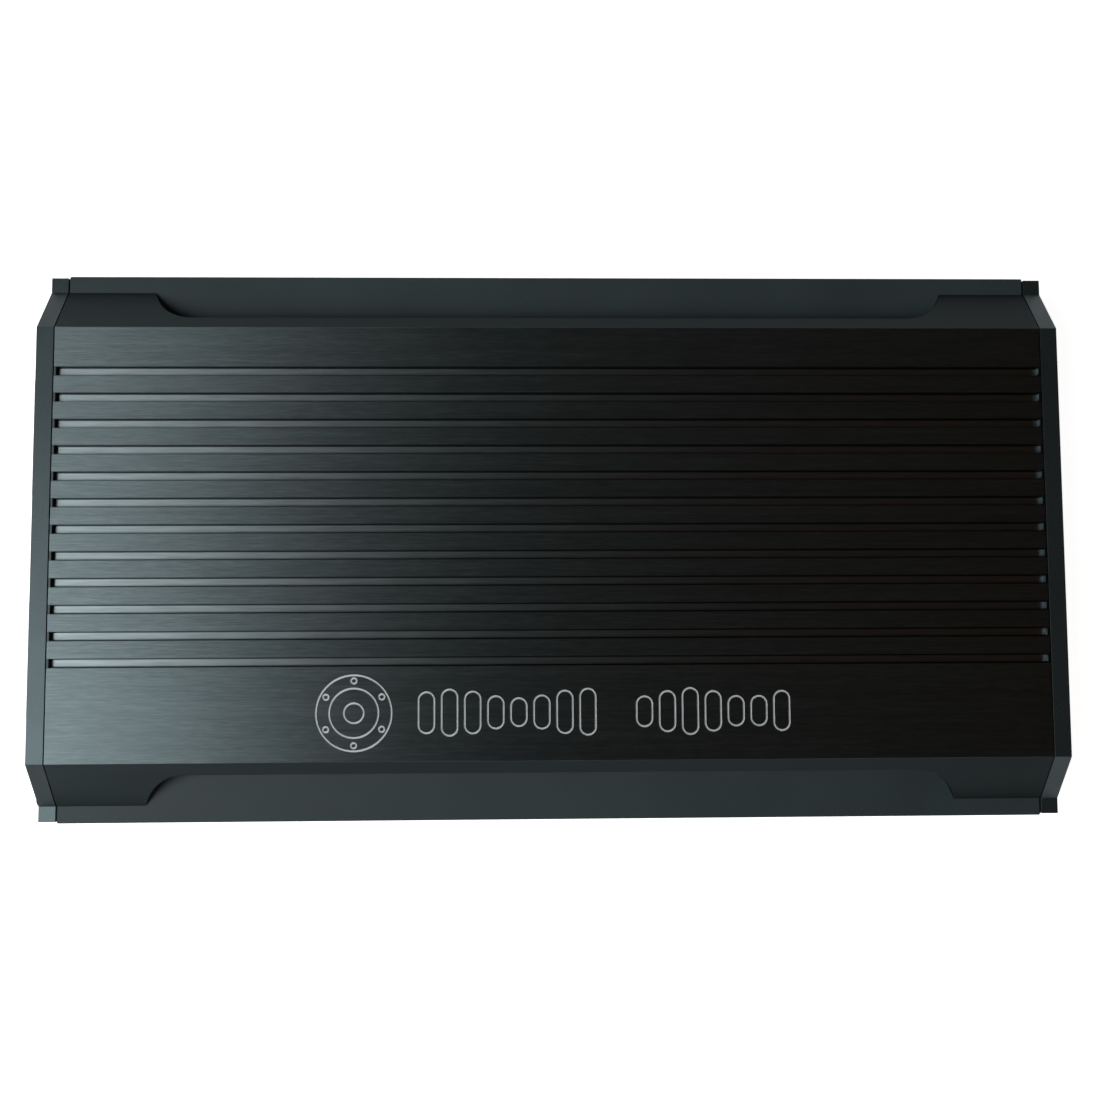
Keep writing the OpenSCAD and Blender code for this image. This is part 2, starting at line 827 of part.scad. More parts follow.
// A plastic terminal housing: open at the back for its clamps, a mouth and a screw hole for each way
module terminal_housing(y0, ways, bores) {
    w = ways_w(ways) / 2;
    translate([0, y0, 0]) difference() {
        span([term_x0, -w, term_z0], [term_x0 + term_back, w, term_z0 + term_h]);
        for (i = [0:len(ways) - 1]) {
            y = way_y(ways, i);
            h = ways[i] / 2;
            span([term_x0 + 1.5, y - h, term_z0 + term_wall],
                 [term_x0 + 2 * term_back, y + h, term_z0 + term_h - term_wall]);
            rod_x(term_x0 - 1, term_x0 + 2, y, bore_z, bores[i] / 2 + 0.6);
            translate([term_x0 + 6, y, term_z0 + 8]) cylinder(h = 40, r = clamp_screw_r(ways[i]) + 0.5);
        }
    }
}

function clamp_screw_r(w) = w / 4;

// Brass clamps: a bore from the front, a threaded hole from above and a solder foot at the back
module terminal_clamps(y0, ways, bores) {
    foot_x = term_x0 + term_back;
    translate([0, y0, 0]) for (i = [0:len(ways) - 1]) {
        y = way_y(ways, i);
        h = ways[i] / 2 - 0.1;
        difference() {
            union() {
                span([term_x0 + 1.6, y - h, term_z0 + term_wall + 0.1],
                     [foot_x + 4, y + h, term_z0 + term_wall + clamp_h - 0.1]);
                span([foot_x + 0.5, y - h, term_z0], [foot_x + 4, y + h, term_z0 + 4]);
            }
            rod_x(term_x0, term_x0 + bore_len, y, bore_z, bores[i] / 2);
            translate([term_x0 + 6, y, bore_z]) cylinder(h = 40, r = clamp_screw_r(ways[i]) + fit);
        }
    }
}

module clamp_screw_set(y0, ways, bores) {
    translate([0, y0, 0]) for (i = [0:len(ways) - 1]) {
        z0 = bore_z + bores[i] / 2 + 0.2;
        translate([term_x0 + 6, way_y(ways, i), 0]) difference() {
            translate([0, 0, z0]) cylinder(h = term_z0 + term_h - 0.6 - z0, r = clamp_screw_r(ways[i]));
            translate([0, 0, term_z0 + term_h - 3.2]) {
                cylinder(h = 4, r = clamp_screw_r(ways[i]) * 0.55, $fn = 6);
            }
        }
    }
}

module power_terminal_housing() {
    color([0.07, 0.07, 0.07]) terminal_housing(terminal_y, supply_ways, supply_bores);
}

module power_clamp_blocks() {
    color([0.8, 0.65, 0.3]) terminal_clamps(terminal_y, supply_ways, supply_bores);
}

module power_clamp_screws() {
    color([0.75, 0.75, 0.75]) clamp_screw_set(terminal_y, supply_ways, supply_bores);
}

module speaker_terminal_housing() {
    color([0.07, 0.07, 0.07]) terminal_housing(-terminal_y, speaker_ways, speaker_bores);
}

module speaker_clamp_blocks() {
    color([0.8, 0.65, 0.3]) terminal_clamps(-terminal_y, speaker_ways, speaker_bores);
}

module speaker_clamp_screws() {
    color([0.75, 0.75, 0.75]) clamp_screw_set(-terminal_y, speaker_ways, speaker_bores);
}

module supply_bus_bars() {
    color([0.8, 0.45, 0.25]) for (i = [0, 2]) {
        y = terminal_y + way_y(supply_ways, i);
        span([term_x0 + term_back + 4, y - 3, board_top], [board_x0 + 72, y + 3, board_top + 3]);
    }
}

// ---------- control board ----------

module control_board() {
    color([0.05, 0.25, 0.12]) difference() {
        span([control_x0, -board_hy, control_z], [control_x1, board_hy, control_top]);
        for (p = control_screw_at) {
            translate([p[0], p[1], control_z - 1]) cylinder(h = board_t + 2, r = m3[0] + 0.2);
        }
    }
}

module control_board_standoffs() {
    color([0.75, 0.6, 0.3]) for (p = control_screw_at) {
        translate([p[0], p[1], base_t]) hex_post(control_z - base_t, m3[0] + fit);
    }
}

module control_board_screws() {
    color([0.6, 0.6, 0.6]) for (p = control_screw_at) {
        translate([p[0], p[1], control_top]) pan_screw(m3, board_t + 4);
    }
}

module ribbon_jumper() {
    x0 = board_x1 - 12;
    x1 = control_x0 + 12;
    z = control_top + 5;
    t = 0.8;
    color([0.7, 0.7, 0.72]) translate([0, 36, 0]) rotate([90, 0, 0]) linear_extrude(height = 28) polygon([
        [x0, board_top], [x0, z], [x1, z], [x1, control_top],
        [x1 - t, control_top], [x1 - t, z - t], [x0 + t, z - t], [x0 + t, board_top]
    ]);
}

module control_chips() {
    color([0.08, 0.08, 0.08]) for (i = [-3.5:3.5]) {
        y = i * board_hy / 4.2;
        span([control_x0 + 14, y - 5, control_top], [control_x0 + 20, y + 5, control_top + 2]);
    }
}

module pot_bodies() {
    color([0.1, 0.1, 0.3]) for (y = knob_at) {
        difference() {
            span([pot_x0, y - pot_w / 2, control_top], [pot_x1, y + pot_w / 2, control_axis_z + 6]);
            rod_x(shaft_x0 - loose, pot_x1 + 1, y, control_axis_z, shaft_d / 2 + shaft_gap);
        }
    }
}

// One control: a shaft that turns in its bush and a fluted cap with a pointer line
module knob(y) {
    x0 = px + knob_gap;
    difference() {
        union() {
            rod_x(shaft_x0, x0 + 1, y, control_axis_z, shaft_d / 2);
            rod_x(x0, x0 + knob_len, y, control_axis_z, knob_d / 2);
        }
        for (a = [10:20:350]) {
            translate([x0 - 1, y, control_axis_z]) rotate([a, 0, 0]) translate([0, 0, knob_d / 2 + 0.15]) {
                rotate([0, 90, 0]) cylinder(h = knob_len + 2, r = 0.55);
            }
        }
        translate([x0 + knob_len - 0.5, y - 0.4, control_axis_z + 1.5]) cube([2, 0.8, knob_d]);
    }
}

module level_knob() {
    color([0.06, 0.06, 0.06]) knob(knob_at[0]);
}

module low_pass_knob() {
    color([0.06, 0.06, 0.06]) knob(knob_at[1]);
}

module subsonic_knob() {
    color([0.06, 0.06, 0.06]) knob(knob_at[2]);
}

module bass_boost_knob() {
    color([0.06, 0.06, 0.06]) knob(knob_at[3]);
}

module slide_switch_bodies() {
    room = 0.15;
    half = slide_travel / 2 + 0.3;
    color([0.6, 0.6, 0.62]) for (y = switch_at) {
        difference() {
            span([switch_x0, y - switch_w / 2, control_top],
                 [hx - 0.3, y + switch_w / 2, control_axis_z + 4.5]);
            span([slider_x - room, y - slider[1] / 2 - half, control_axis_z - slider[2] / 2 - room],
                 [slider_x + slider[0] + room, y + slider[1] / 2 + half, control_axis_z + slider[2] / 2 + room]);
            span([slider_x, y - stem[1] / 2 - half, control_axis_z - stem[2] / 2 - 0.3],
                 [hx + 1, y + stem[1] / 2 + half, control_axis_z + stem[2] / 2 + 0.3]);
        }
    }
}

// One switch slider, at the end of its travel nearer the middle of the plate
module switch_slider(y) {
    y0 = y - slide_travel / 2;
    span([slider_x, y0 - slider[1] / 2, control_axis_z - slider[2] / 2],
         [slider_x + slider[0], y0 + slider[1] / 2, control_axis_z + slider[2] / 2]);
    span([slider_x + slider[0] - eps, y0 - stem[1] / 2, control_axis_z - stem[2] / 2],
         [px + 2.5, y0 + stem[1] / 2, control_axis_z + stem[2] / 2]);
}

module phase_slider() {
    color([0.85, 0.85, 0.85]) switch_slider(switch_at[0]);
}

module mode_slider() {
    color([0.85, 0.85, 0.85]) switch_slider(switch_at[1]);
}

module phono_housings() {
    r = phono_d / 2;
    color([0.07, 0.07, 0.07]) for (k = [0, 2]) {
        difference() {
            union() {
                span([hx - 22, phono_at[k] - phono_pitch / 2 + 0.5, control_top],
                     [hx - 0.2, phono_at[k + 1] + phono_pitch / 2 - 0.5, control_axis_z + 7]);
                for (y = [phono_at[k], phono_at[k + 1]]) {
                    rod_x(hx - 1, px + 1, y, control_axis_z, r - sleeve_t - fit);
                }
            }
            for (y = [phono_at[k], phono_at[k + 1]]) {
                difference() {
                    rod_x(phono_x0 - fit, hx + 1, y, control_axis_z, r - neck_cut + fit);
                    rod_x(phono_x0 - 1, px + 1, y, control_axis_z, r - sleeve_t - fit);
                }
                rod_x(phono_x0 - fit, px + 2, y, control_axis_z, 2.2 + fit);
            }
        }
    }
}

module phono_sleeves() {
    color([0.85, 0.7, 0.35]) for (y = phono_at) {
        difference() {
            union() {
                rod_x(phono_x0, px + 0.6, y, control_axis_z, phono_d / 2 - neck_cut);
                rod_x(px + 0.5, px + sleeve_out, y, control_axis_z, phono_d / 2);
            }
            rod_x(phono_x0 - 1, px + sleeve_out + 1, y, control_axis_z, phono_d / 2 - sleeve_t);
        }
    }
}

module phono_contacts() {
    color([0.85, 0.7, 0.35]) for (y = phono_at) {
        difference() {
            rod_x(phono_x0, px + 5, y, control_axis_z, 2.2);
            rod_x(phono_x0 + 2, px + 6, y, control_axis_z, 1.6);
        }
    }
}

module remote_jack() {
    color([0.07, 0.07, 0.07]) difference() {
        span([hx - jack_back, jack_at - jack_w / 2, control_top],
             [hx - 0.2, jack_at + jack_w / 2, control_top + 13]);
        span([hx - jack_open[0], jack_at - jack_open[1] / 2, jack_z - jack_open[2] / 2],
             [hx + 1, jack_at + jack_open[1] / 2, jack_z + jack_open[2] / 2]);
    }
}

// A domed lens at height z, on a leg that stands on the control board behind the plate
module led(z, behind) {
    rod_x(hx - behind, px + 0.4, led_at, z, led_r);
    translate([px + 0.4, led_at, z]) sphere(r = led_r);
    span([hx - behind, led_at - 0.4, control_top], [hx - behind + 0.8, led_at + 0.4, z]);
}

module power_led() {
    color([0.2, 0.4, 0.9]) led(control_axis_z + 3.5, 8);
}

module protect_led() {
    color([0.8, 0.1, 0.1]) led(control_axis_z - 3.5, 5);
}

top_cover();
heatsink();
bottom_plate();
power_end_plate();
signal_end_plate();
end_plate_screws();
base_screws();
cover_screws();
main_board();
board_standoffs();
board_screws();
control_board();
control_board_standoffs();
control_board_screws();
ribbon_jumper();
power_terminal_housing();
power_clamp_blocks();
power_clamp_screws();
speaker_terminal_housing();
speaker_clamp_blocks();
speaker_clamp_screws();
supply_bus_bars();
input_choke_core();
input_choke_winding();
transformer_cores();
transformer_windings();
transformer_bolts();
input_capacitors();
rail_capacitors();
output_inductor_cores();
output_inductor_windings();
output_film_capacitors();
supply_mosfets();
rectifier_diodes();
output_mosfets();
insulator_pads();
clamp_bars();
clamp_bar_screws();
driver_board();
driver_chips();
control_chips();
pot_bodies();
level_knob();
low_pass_knob();
subsonic_knob();
bass_boost_knob();
slide_switch_bodies();
phase_slider();
mode_slider();
phono_housings();
phono_sleeves();
phono_contacts();
remote_jack();
power_led();
protect_led();
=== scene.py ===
import json
import math

import bpy
from mathutils import Matrix, Vector


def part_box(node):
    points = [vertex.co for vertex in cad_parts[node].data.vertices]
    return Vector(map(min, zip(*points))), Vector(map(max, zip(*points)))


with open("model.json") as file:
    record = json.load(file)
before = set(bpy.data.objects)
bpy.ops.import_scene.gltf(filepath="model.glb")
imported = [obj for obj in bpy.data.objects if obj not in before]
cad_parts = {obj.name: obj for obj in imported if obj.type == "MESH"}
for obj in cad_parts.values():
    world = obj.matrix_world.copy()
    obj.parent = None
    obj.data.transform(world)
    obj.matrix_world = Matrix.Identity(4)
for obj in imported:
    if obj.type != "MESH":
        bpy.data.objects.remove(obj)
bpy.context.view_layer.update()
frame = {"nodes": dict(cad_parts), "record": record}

MM = 0.001

# ---------------------------------------------------------------- the cover's layout
SLOPE_RUN = 18.7 * MM       # width of each sloped shoulder, seen from above
REAR_BAND = 18.45 * MM      # from the top's rear edge to the middle of the first groove
FRONT_BAND = 40 * MM        # plain band with the emblem
GROOVES = 12
GROOVE_PITCH = 10.92 * MM
GROOVE_WIDTH = 3.6 * MM
GROOVE_DEPTH = 2.5 * MM
LIP_SHADE = 0.3 * MM              # painted shade: darker strip of the top beside a groove
SIDE_SHADE = 0.55 * MM          # painted shade: dark strip of a groove's floor beside its walls
EMBLEM_MARGIN = 3 * MM      # kept between the engraved lines and the front band's rear edge

cover_lo, cover_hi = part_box("top_cover")
ledge_z = cover_lo[2]
top_z = cover_hi[2]
top_edge = cover_hi[1] - SLOPE_RUN      # half width of the brushed top

# ---------------------------------------------------------------- marks at the signal end
TICK_START = 7.7 * MM       # printed ticks, from the knob's axis
TICK_END = 9.0 * MM
TICK_HALF = 0.25 * MM
TICK_TURN = math.radians(28)        # from one tick to the next
TICK_REACH = math.radians(145)      # furthest turn that has a tick
POINTER_START = 1.4 * MM    # white pointer, from the knob's axis
POINTER_HALF = 0.45 * MM
POINTER_DEPTH = 0.6 * MM

plate_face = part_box("signal_end_plate")[1][0]


# ---------------------------------------------------------------- node helpers
class Shader:
    """A material's node tree, with one short call per kind of node."""

    def __init__(self, name):
        self.mat = bpy.data.materials.new(name)
        self.mat.use_nodes = True
        self.nodes = self.mat.node_tree.nodes
        self.links = self.mat.node_tree.links
        self.nodes.clear()
        self.bsdf = self.nodes.new("ShaderNodeBsdfPrincipled")
        surface = self.nodes.new("ShaderNodeOutputMaterial").inputs["Surface"]
        self.links.new(self.bsdf.outputs[0], surface)
        self.place = self.nodes.new("ShaderNodeTexCoord").outputs["Object"]
        axes = self.nodes.new("ShaderNodeSeparateXYZ")
        self.links.new(self.place, axes.inputs[0])
        self.x, self.y, self.z = axes.outputs

    def plug(self, value, socket):
        if isinstance(value, bpy.types.NodeSocket):
            self.links.new(value, socket)
        else:
            socket.default_value = value

    def set(self, **values):
        """Sets or links inputs of the shader: Base_Color is its Base Color, and so on."""
        for key, value in values.items():
            self.plug(value, self.bsdf.inputs[key.replace("_", " ")])
        return self

    def math(self, operation, a, b=0.0, clamp=False):
        n = self.nodes.new("ShaderNodeMath")
        n.operation = operation
        n.use_clamp = clamp
        self.plug(a, n.inputs[0])
        self.plug(b, n.inputs[1])
        return n.outputs[0]

    def plus(self, a, b):
        return self.math("ADD", a, b)

    def minus(self, a, b):
        return self.math("SUBTRACT", a, b)

    def times(self, product, *factors):
        for factor in factors:
            product = self.math("MULTIPLY", product, factor)
        return product

    def over(self, a, b):
        return self.math("DIVIDE", a, b)

    def magnitude(self, value):
        return self.math("ABSOLUTE", value)

    def without(self, mask, other):
        """The mask, less the other mask."""
        return self.math("SUBTRACT", mask, other, clamp=True)

    def above(self, value, edge, soft):
        """0 below edge, 1 above edge + soft."""
        return self.math("MULTIPLY", self.minus(value, edge), 1 / soft, clamp=True)

    def below(self, value, edge, soft):
        """1 below edge - soft, 0 above edge."""
        return self.without(1.0, self.above(value, edge - soft, soft))

    def between(self, value, low, high, soft):
        return self.times(self.above(value, low, soft), self.below(value, high, soft))

    def nearest(self, steps):
        """Steps past the nearest whole number of steps, -0.5 to 0.5."""
        return self.minus(self.math("FRACT", self.plus(steps, 0.5)), 0.5)

    def noise(self, scale, detail=4.0, rough=0.55):
        """Noise from 0 to 1. scale is repeats per metre, one number or one for each axis."""
        stretch = self.nodes.new("ShaderNodeMapping")
        stretch.inputs["Scale"].default_value = scale if isinstance(scale, tuple) else (scale,) * 3
        self.links.new(self.place, stretch.inputs["Vector"])
        n = self.nodes.new("ShaderNodeTexNoise")
        n.inputs["Scale"].default_value = 1.0
        n.inputs["Detail"].default_value = detail
        n.inputs["Roughness"].default_value = rough
        self.links.new(stretch.outputs[0], n.inputs["Vector"])
        return n.outputs[0]

    def shares(self, *pairs):
        """The sum of (value, share) pairs."""
        total = 0.0
        for value, share in pairs:
            total = self.plus(self.times(value, share), total)
        return total

    def span(self, value, low, high):
        """value from 0..1 to low..high."""
        n = self.nodes.new("ShaderNodeMapRange")
        n.inputs["To Min"].default_value = low
        n.inputs["To Max"].default_value = high
        self.links.new(value, n.inputs["Value"])
        return n.outputs[0]

    def mix(self, factor, a, b):
        """Colour a where factor is 0 and colour b where it is 1."""
        n = self.nodes.new("ShaderNodeMix")
        n.data_type = "RGBA"
        self.plug(factor, n.inputs[0])
        self.plug(a, n.inputs[6])
        self.plug(b, n.inputs[7])
        return n.outputs[2]

    def mix_number(self, factor, a, b):
        """Number a where factor is 0 and number b where it is 1."""
        n = self.nodes.new("ShaderNodeMix")
        n.data_type = "FLOAT"
        self.plug(factor, n.inputs[0])
        self.plug(a, n.inputs[2])
        self.plug(b, n.inputs[3])
        return n.outputs[0]

    def grade(self, value, stops):
        """A colour ramp through (place, colour) stops."""
        n = self.nodes.new("ShaderNodeValToRGB")
        ramp = n.color_ramp
        while len(ramp.elements) < len(stops):
            ramp.elements.new(0.5)
        for element, (at, colour) in zip(ramp.elements, stops):
            element.position = at
            element.color = rgb(*colour)
        self.links.new(value, n.inputs[0])
        return n.outputs[0]

    def bump(self, height, depth):
        """Relief of depth metres where height goes from 0 to 1."""
        n = self.nodes.new("ShaderNodeBump")
        n.inputs["Strength"].default_value = 1.0
        n.inputs["Distance"].default_value = depth
        self.links.new(height, n.inputs["Height"])
        self.links.new(n.outputs[0], self.bsdf.inputs["Normal"])

    def brush_along_x(self, amount):
        """Stretches highlights across brush lines that run along X."""
        tangent = self.nodes.new("ShaderNodeTangent")
        tangent.direction_type = "RADIAL"
        tangent.axis = "X"
        self.links.new(tangent.outputs[0], self.bsdf.inputs["Tangent"])
        self.set(Anisotropic=amount)


def rgb(r, g, b):
    return (r, g, b, 1)


def middle(name):
    low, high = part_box(name)
    return [(a + b) / 2 for a, b in zip(low, high)]


# ---------------------------------------------------------------- cover
def cover_masks(s):
    """Masks, each 1 on one kind of surface: top, lip (painted shade: the darker strip of the top beside a
    groove), groove, floor, wall (the groove's side walls, painted near black as shade), corner (painted
    shade: the band along a groove's sides) and line.
    """
    inside = s.below(s.magnitude(s.y), top_edge - 0.5 * MM, 0.1 * MM)
    sunk = s.times(inside, s.below(s.z, top_z - 0.1 * MM, 0.05 * MM))
    emblem_edge = cover_lo[1] + SLOPE_RUN + FRONT_BAND - EMBLEM_MARGIN
    line = s.times(sunk, s.below(s.y, emblem_edge, 0.1 * MM))
    groove = s.without(sunk, line)
    floor = s.times(groove, s.below(s.z, top_z - GROOVE_DEPTH + 0.1 * MM, 0.05 * MM))

    steps = s.over(s.minus(top_edge - REAR_BAND, s.y), GROOVE_PITCH)
    off = s.times(s.magnitude(s.nearest(steps)), GROOVE_PITCH)
    # painted shade: the band along each groove's sides, where its floor is darkened and its side walls are
    # picked out
    side_shade = s.above(off, GROOVE_WIDTH / 2 - SIDE_SHADE, 0.3 * MM)
    # painted shade: the groove's side walls, coloured near black further down
    wall = s.times(s.without(groove, floor), side_shade)
    top = s.above(s.z, top_z - 0.06 * MM, 0.03 * MM)
    rows = s.between(steps, -0.4, GROOVES - 0.6, 0.01)
    # painted shade: a darker strip on the top beside each groove
    lip_shade = s.times(s.below(off, GROOVE_WIDTH / 2 + LIP_SHADE, 0.15 * MM), top, rows)
    return top, lip_shade, groove, floor, wall, side_shade, line


def brushed_black():
    """Black anodised cover: brushed along X on top, smooth grooves, bright engraved lines, with painted
    shade on the groove walls, along the sides of the groove floors and on the top beside each groove.
    """
    s = Shader("brushed_black")
    top, lip_shade, groove, floor, wall, side_shade, line = cover_masks(s)

    hair = s.noise((130, 2300, 2300), rough=0.65)
    strand = s.noise((40, 1000, 1000), rough=0.6)
    long_line = s.noise((8, 420, 420), detail=3)
    cloud = s.noise((7, 60, 60), detail=3)
    polish = s.noise((60, 900, 900))
    grain = s.shares((hair, 0.5), (strand, 0.3), (long_line, 0.2))
    brushed = s.grade(grain, [(0.3, (0.068, 0.085, 0.089)), (0.5, (0.102, 0.127, 0.133)),
                              (0.7, (0.150, 0.185, 0.194))])
    plain = s.grade(cloud, [(0.2, (0.026, 0.035, 0.038)), (0.8, (0.037, 0.050, 0.054))])
    smooth = s.grade(polish, [(0.2, (0.17, 0.201, 0.209)), (0.8, (0.26, 0.305, 0.317))])
    # painted shade: the groove floor darkened along its sides
    smooth = s.mix(side_shade, smooth, rgb(0.03, 0.036, 0.038))

    colour = s.mix(top, plain, brushed)
    # painted shade: the darker strip of the top beside each groove
    colour = s.mix(lip_shade, colour, rgb(0.045, 0.055, 0.058))
    colour = s.mix(groove, colour, smooth)
    # painted shade: the groove's side walls near black
    colour = s.mix(wall, colour, rgb(0.02, 0.024, 0.025))
    colour = s.mix(line, colour, rgb(0.74, 0.78, 0.79))
    rough = s.mix_number(top, s.span(cloud, 0.45, 0.54), s.span(grain, 0.38, 0.50))
    rough = s.mix_number(floor, rough, 0.45)
    rough = s.mix_number(line, rough, 0.5)
    metal = s.minus(1.0, s.times(line, 0.75))
    s.bump(s.times(top, grain), 0.03 * MM)
    s.brush_along_x(0.75)
    return s.set(Base_Color=colour, Metallic=metal, Roughness=rough).mat


# ---------------------------------------------------------------- body, plates and hardware
def blasted(name, dark, light, rough, grit=2600, depth=0.03):
    """Blasted, anodised or powder-coated metal with a fine even grit, depth millimetres deep."""
    s = Shader(name)
    fine = s.noise(grit, detail=3, rough=0.6)
    cloud = s.noise(22)
    tone = s.shares((fine, 0.5), (cloud, 0.5))
    s.bump(fine, depth * MM)
    return s.set(Base_Color=s.grade(tone, [(0.3, dark), (0.7, light)]),
                 Roughness=s.span(fine, rough - 0.06, rough + 0.08))


def ledge_metal():
    s = blasted("matte_black_aluminium", (0.026, 0.038, 0.042), (0.039, 0.056, 0.062), 0.6)
    return s.set(Specular_IOR_Level=0.3).mat


def dial_marks(s):
    """1 on the printed ticks round the knobs, on the outer face of the signal end plate."""
    first, second = middle("level_knob"), middle("low_pass_knob")
    pitch = second[1] - first[1]
    steps = s.over(s.minus(s.y, first[1]), pitch)
    across = s.times(s.nearest(steps), pitch)
    up = s.minus(s.z, first[2])
    radius = s.math("SQRT", s.plus(s.times(across, across), s.times(up, up)))
    turn = s.math("ARCTAN2", across, up)
    off = s.times(s.magnitude(s.nearest(s.over(turn, TICK_TURN))), TICK_TURN, radius)
    bar = s.times(s.below(off, TICK_HALF, 0.08 * MM), s.between(radius, TICK_START, TICK_END, 0.08 * MM))
    reach = s.below(s.magnitude(turn), TICK_REACH, 0.01)
    knobs = s.between(steps, -0.5, 3.5, 0.001)
    outside = s.above(s.x, plate_face - 0.1 * MM, 0.02 * MM)
    return s.times(bar, reach, knobs, outside)


def plate_metal():
    """Anodised end plates, with white ticks printed round the knobs."""
    s = blasted("anodised_plate", (0.044, 0.058, 0.062), (0.068, 0.090, 0.096), 0.42, 1300, 0.02)
    marks = dial_marks(s)
    body = s.bsdf.inputs["Base Color"].links[0].from_socket
    printed = s.mix(marks, body, rgb(0.62, 0.63, 0.62))
    return s.set(Base_Color=printed, Metallic=s.span(marks, 0.8, 0.0)).mat


def powder_coat():
    return blasted("black_steel", (0.012, 0.012, 0.013), (0.022, 0.022, 0.023), 0.55, 1400, 0.06).mat


def plain_metal(name, low, high, rough):
    """Plated or bare metal with a fine even surface and a faint stain."""
    s = Shader(name)
    fine = s.noise(2600, detail=2)
    stain = s.noise(70, detail=2)
    tone = s.shares((fine, 0.5), (stain, 0.5))
    s.bump(fine, 0.0008 * MM)
    return s.set(Base_Color=s.grade(tone, [(0.25, low), (0.75, high)]), Metallic=1.0,
                 Roughness=s.span(fine, rough - 0.03, rough + 0.05)).mat


# ---------------------------------------------------------------- plastics and coatings
def moulded(name, dark, light, rough, grit=2200, depth=0.02):
    """Moulded, coated or pressed material with a fine grit, depth millimetres deep."""
    s = Shader(name)
    fine = s.noise(grit, detail=3)
    cloud = s.noise(70, detail=2)
    tone = s.shares((fine, 0.4), (cloud, 0.6))
    s.bump(fine, depth * MM)
    return s.set(Base_Color=s.grade(tone, [(0.25, dark), (0.75, light)]),
                 Roughness=s.span(fine, rough - 0.05, rough + 0.08)).mat


def knob_plastic(name):
    """Moulded knob with white paint in its pointer slot."""
    s = Shader(name)
    centre = middle(name)
    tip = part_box(name)[1][0]
    across = s.below(s.magnitude(s.minus(s.y, centre[1])), POINTER_HALF, 0.05 * MM)
    outward = s.above(s.z, centre[2] + POINTER_START, 0.05 * MM)
    slot = s.times(across, outward, s.above(s.x, tip - POINTER_DEPTH, 0.02 * MM))
    grit = s.noise(2200, detail=3)
    cloud = s.noise(150, detail=2)
    s.bump(grit, 0.02 * MM)
    skin = s.grade(cloud, [(0.25, (0.010, 0.010, 0.011)), (0.75, (0.021, 0.021, 0.022))])
    return s.set(Base_Color=s.mix(slot, skin, rgb(0.7, 0.7, 0.68)), Roughness=s.span(grit, 0.38, 0.5)).mat


def socket_plastic():
    """Black socket bodies whose insulators outside the plate are white and red in turn."""
    s = Shader("socket_plastic")
    low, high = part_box("phono_sleeves")
    radius = (high[2] - low[2]) / 2
    pitch = (high[1] - low[1] - 2 * radius) / 3
    pairs = s.over(s.minus(s.y, low[1] + radius), 2 * pitch)
    white = s.below(s.math("FRACT", s.plus(pairs, 0.25)), 0.5, 0.01)
    fine = s.noise(1500, detail=3)
    s.bump(fine, 0.01 * MM)
    black = s.grade(fine, [(0.25, (0.012, 0.012, 0.013)), (0.75, (0.022, 0.022, 0.023))])
    ring = s.mix(white, rgb(0.5, 0.02, 0.015), rgb(0.62, 0.62, 0.6))
    outside = s.above(s.x, plate_face - 1 * MM, 0.1 * MM)
    return s.set(Base_Color=s.mix(outside, black, ring), Roughness=s.span(fine, 0.35, 0.48)).mat


# ---------------------------------------------------------------- materials on the nodes
MATERIALS = {
    "brushed_black": brushed_black(),
    "matte_black_aluminium": ledge_metal(),
    "anodised_plate": plate_metal(),
    "black_steel": powder_coat(),
    "black_screw": plain_metal("black_screw", (0.03, 0.03, 0.032), (0.06, 0.06, 0.064), 0.4),
    "zinc_steel": plain_metal("zinc_steel", (0.5, 0.5, 0.52), (0.66, 0.66, 0.68), 0.32),
    "circuit_board": moulded("circuit_board", (0.006, 0.06, 0.02), (0.01, 0.1, 0.04), 0.35, 500),
    "brass": plain_metal("brass", (0.62, 0.44, 0.17), (0.75, 0.56, 0.26), 0.3),
    "nickel_brass": plain_metal("nickel_brass", (0.6, 0.58, 0.52), (0.78, 0.76, 0.7), 0.26),
    "gold_brass": plain_metal("gold_brass", (0.75, 0.52, 0.18), (0.9, 0.68, 0.3), 0.22),
    "copper": plain_metal("copper", (0.55, 0.2, 0.09), (0.75, 0.32, 0.15), 0.35),
    "ferrite": moulded("ferrite", (0.03, 0.03, 0.032), (0.05, 0.05, 0.053), 0.6, 1200, 0.05),
    "powder_core": moulded("powder_core", (0.26, 0.24, 0.03), (0.35, 0.32, 0.06), 0.5),
    "capacitor_sleeve": moulded("capacitor_sleeve", (0.012, 0.012, 0.02), (0.02, 0.02, 0.03), 0.3),
    "film_capacitor": moulded("film_capacitor", (0.28, 0.03, 0.02), (0.38, 0.06, 0.03), 0.3),
    "epoxy_package": moulded("epoxy_package", (0.02, 0.02, 0.02), (0.035, 0.035, 0.035), 0.5),
    "thermal_pad": moulded("thermal_pad", (0.38, 0.42, 0.47), (0.5, 0.55, 0.6), 0.7),
    "pot_body": moulded("pot_body", (0.02, 0.04, 0.15), (0.035, 0.06, 0.2), 0.4),
    "slider_plastic": moulded("slider_plastic", (0.5, 0.5, 0.48), (0.62, 0.62, 0.6), 0.45),
    "black_plastic": moulded("black_plastic", (0.012, 0.012, 0.013), (0.022, 0.022, 0.023), 0.48),
    "ribbon": moulded("ribbon", (0.4, 0.4, 0.42), (0.52, 0.52, 0.54), 0.5),
    "blue_lens": moulded("blue_lens", (0.06, 0.18, 0.7), (0.12, 0.28, 0.85), 0.12),
    "red_lens": moulded("red_lens", (0.6, 0.02, 0.02), (0.75, 0.05, 0.04), 0.12),
}

